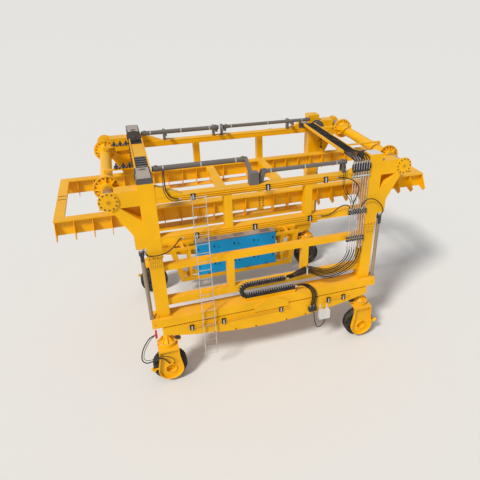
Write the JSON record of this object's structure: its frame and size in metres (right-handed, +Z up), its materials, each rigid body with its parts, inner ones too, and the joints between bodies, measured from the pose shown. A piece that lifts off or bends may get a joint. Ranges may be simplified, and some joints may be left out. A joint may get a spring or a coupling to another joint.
{
  "type": "straddle carrier",
  "caption": "Yellow telescopic straddle carrier with a long load frame, steered wheels, lift columns, chain hoists and a blue power pack.",
  "frame": {"origin": "centre of the machine on the ground", "axes": "+X lengthwise towards the right end seen from the ladder side, +Y across towards the power pack side, +Z up"},
  "size_m": [12.2, 6.014, 7.239],
  "materials": {
    "yellow": "satin",
    "grey_paint": "satin",
    "bright_steel": "satin",
    "blue_paint": "satin",
    "black_plastic": "matte",
    "pale_paint": "satin",
    "rubber_black": "matte",
    "tyre": "matte"
  },
  "bodies": {
    "bridge": {"cross_tubes": "yellow", "cross_trays": "yellow"},
    "side_near": {"columns_near": "yellow", "rails_near": "yellow", "hoods_near": "grey_paint", "hoist_cylinders_near": "grey_paint", "shafts_near": "bright_steel", "lift_rods_near": "bright_steel", "chains_near": "bright_steel", "chains_near_right": "bright_steel", "ladder": "yellow", "risers": "bright_steel", "hose_cylinder": "rubber_black", "hose_lift_left": "rubber_black", "hose_lift_right": "rubber_black", "hose_top": "rubber_black", "hose_middle": "rubber_black"},
    "lower_near": {"legs_near": "yellow", "truss_near": "yellow", "sill_near": "yellow", "wheel_beam_near": "yellow", "lift_barrels_near": "grey_paint", "energy_chain": "black_plastic", "junction_box": "pale_paint", "hose_main_1": "rubber_black", "hose_main_2": "rubber_black", "hose_main_3": "rubber_black", "hose_sill_1": "rubber_black", "hose_sill_2": "rubber_black", "hose_loop": "rubber_black"},
    "side_far": {"columns_far": "yellow", "rails_far": "yellow", "hoods_far": "grey_paint", "hoist_cylinders_far": "grey_paint", "shafts_far": "bright_steel", "lift_rods_far": "bright_steel", "chains_far": "bright_steel", "chains_far_right": "bright_steel"},
    "lower_far": {"legs_far": "yellow", "truss_far": "yellow", "sill_far": "yellow", "wheel_beam_far": "yellow", "lift_barrels_far": "grey_paint", "cradle": "yellow", "power_pack": "blue_paint"},
    "load_frame": {"load_beams": "yellow", "load_ribs": "yellow", "load_ties": "yellow"},
    "steer_near_left": {"fork_near_left": "yellow"},
    "wheel_near_left": {"rim_near_left": "yellow", "tyre_near_left": "tyre"},
    "steer_near_right": {"fork_near_right": "yellow"},
    "wheel_near_right": {"rim_near_right": "yellow", "tyre_near_right": "tyre"},
    "steer_far_left": {"fork_far_left": "yellow"},
    "wheel_far_left": {"rim_far_left": "yellow", "tyre_far_left": "tyre"},
    "steer_far_right": {"fork_far_right": "yellow"},
    "wheel_far_right": {"rim_far_right": "yellow", "tyre_far_right": "tyre"}
  },
  "joints": [
    {"name": "width_near", "type": "slide", "parent": "bridge", "child": "side_near", "axis": [0, -1, 0], "range_m": [0, 0.45]},
    {"name": "width_far", "type": "slide", "parent": "bridge", "child": "side_far", "axis": [0, 1, 0], "range_m": [0, 0.45]},
    {"name": "lift_near", "type": "slide", "parent": "side_near", "child": "lower_near", "axis": [0, 0, -1], "range_m": [0, 1.3]},
    {"name": "lift_far", "type": "slide", "parent": "side_far", "child": "lower_far", "axis": [0, 0, -1], "range_m": [0, 1.3]},
    {"name": "hoist", "type": "slide", "parent": "bridge", "child": "load_frame", "axis": [0, 0, 1], "range_m": [-4.4, 0.25], "deforming": ["chains_near", "chains_far", "chains_near_right", "chains_far_right"]},
    {"name": "steer_near_left", "type": "hinge", "parent": "lower_near", "child": "steer_near_left", "pos_m": [-3.5, -2.62, 1.45], "axis": [0, 0, 1], "range_deg": [-95, 95]},
    {"name": "steer_near_right", "type": "hinge", "parent": "lower_near", "child": "steer_near_right", "pos_m": [3.5, -2.62, 1.45], "axis": [0, 0, 1], "range_deg": [-95, 95]},
    {"name": "steer_far_left", "type": "hinge", "parent": "lower_far", "child": "steer_far_left", "pos_m": [-3.5, 2.62, 1.45], "axis": [0, 0, 1], "range_deg": [-95, 95]},
    {"name": "steer_far_right", "type": "hinge", "parent": "lower_far", "child": "steer_far_right", "pos_m": [3.5, 2.62, 1.45], "axis": [0, 0, 1], "range_deg": [-95, 95]},
    {"name": "roll_near_left", "type": "hinge", "parent": "steer_near_left", "child": "wheel_near_left", "pos_m": [-3.5, -2.62, 0.56], "axis": [0, 1, 0], "continuous": true},
    {"name": "roll_near_right", "type": "hinge", "parent": "steer_near_right", "child": "wheel_near_right", "pos_m": [3.5, -2.62, 0.56], "axis": [0, 1, 0], "continuous": true},
    {"name": "roll_far_left", "type": "hinge", "parent": "steer_far_left", "child": "wheel_far_left", "pos_m": [-3.5, 2.62, 0.56], "axis": [0, 1, 0], "continuous": true},
    {"name": "roll_far_right", "type": "hinge", "parent": "steer_far_right", "child": "wheel_far_right", "pos_m": [3.5, 2.62, 0.56], "axis": [0, 1, 0], "continuous": true}
  ],
  "couplings": [
    {"joint": "width_far", "follows": "width_near", "ratio": 1},
    {"joint": "lift_far", "follows": "lift_near", "ratio": 1}
  ]
}
